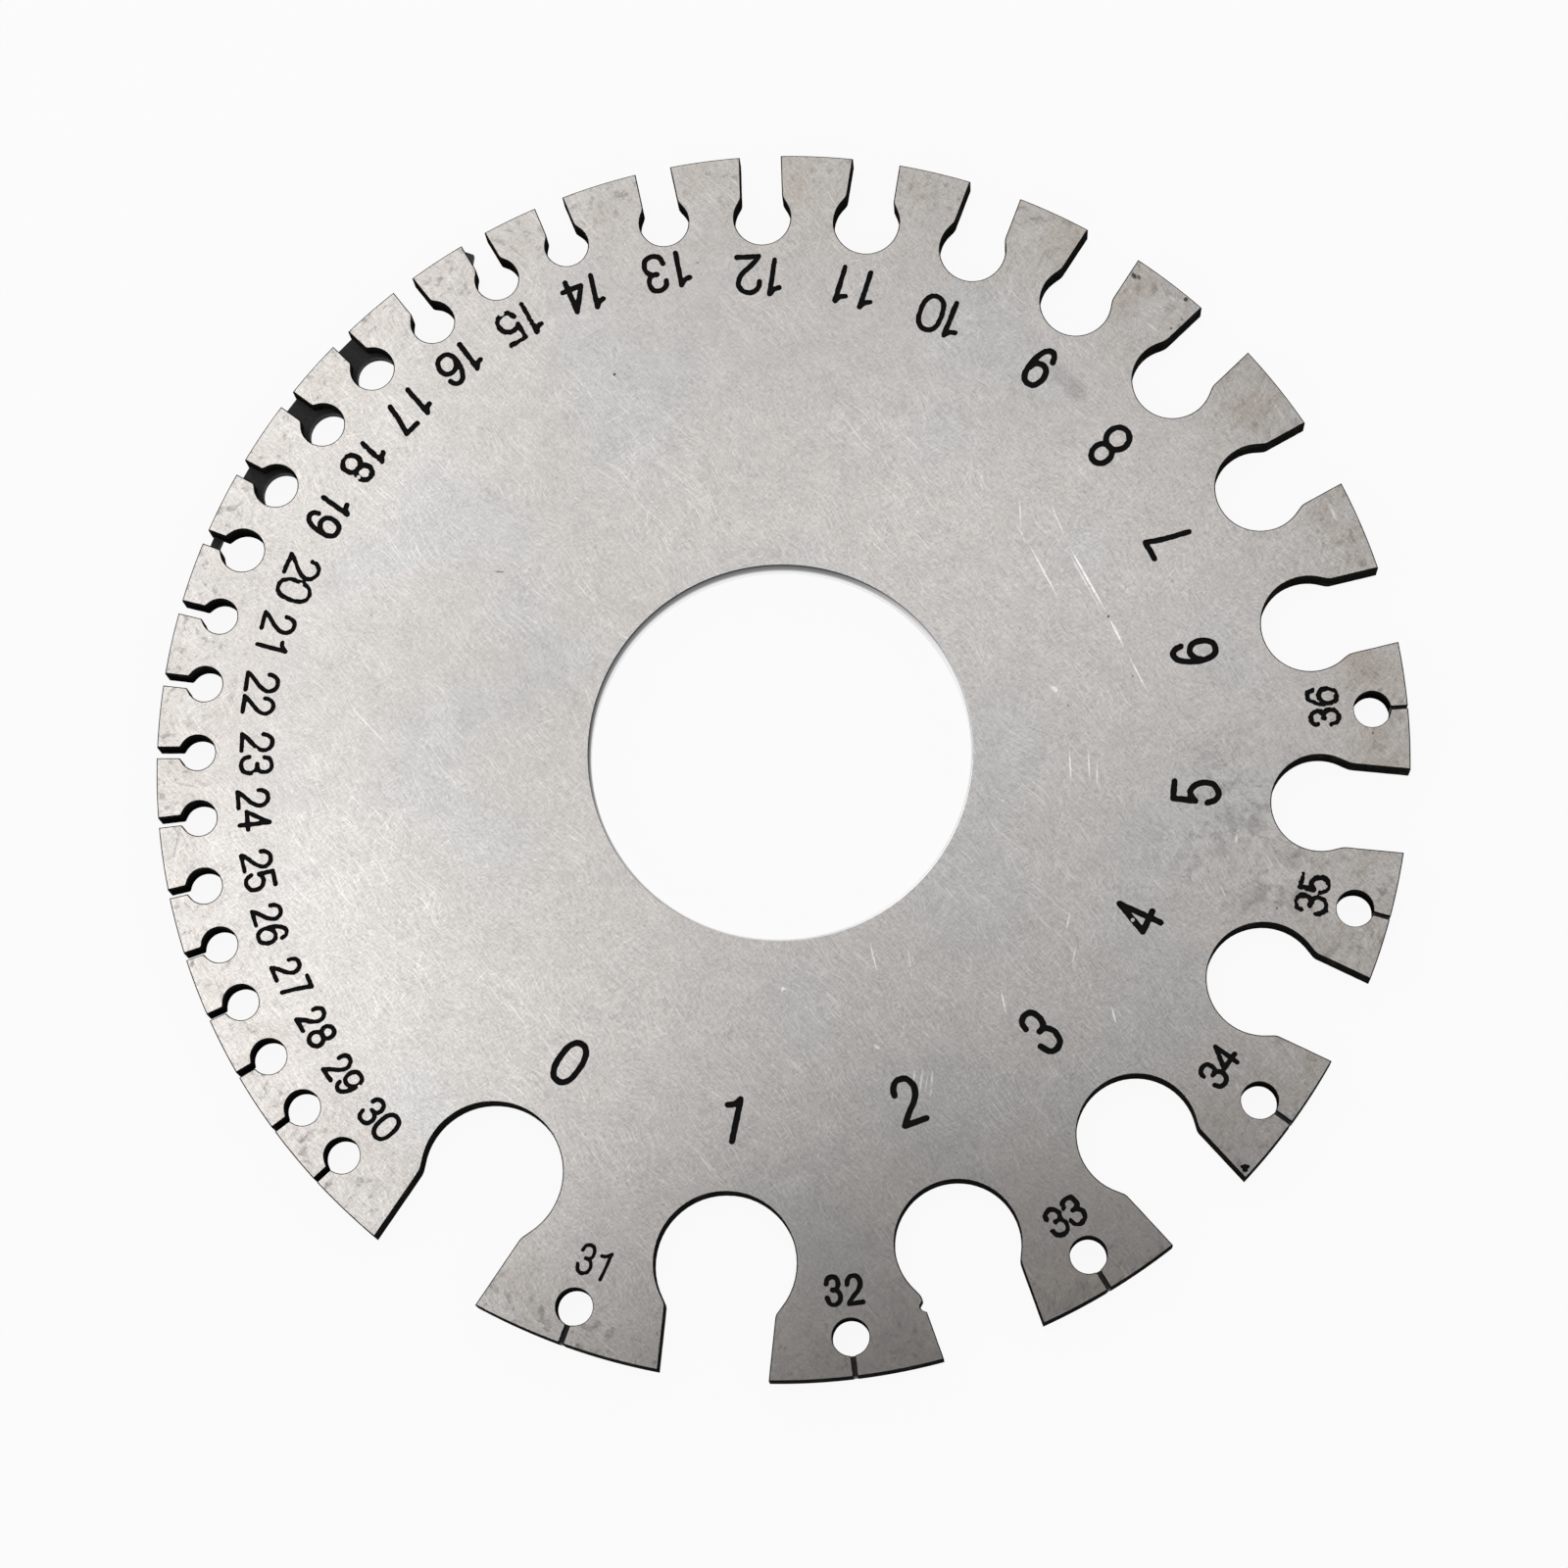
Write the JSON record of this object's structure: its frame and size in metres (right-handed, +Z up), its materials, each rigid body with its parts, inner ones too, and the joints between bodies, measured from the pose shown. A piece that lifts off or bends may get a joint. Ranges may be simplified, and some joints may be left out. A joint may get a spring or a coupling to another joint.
{
  "type": "wire gauge plate",
  "caption": "Round flat steel gauge plate: slots of falling width stand round its rim, each ending in a round relief hole, with a large centre hole.",
  "frame": {"origin": "centre of the plate on its lower face", "axes": "+Z up through the numbered face, +X out through the tooth between slots 5 and 36, slots numbered anticlockwise seen from +Z"},
  "size_m": [0.0826, 0.0826, 0.002],
  "materials": {
    "ground_steel": "ground"
  },
  "bodies": {
    "root": {"gauge_plate": "ground_steel"}
  },
  "joints": []
}
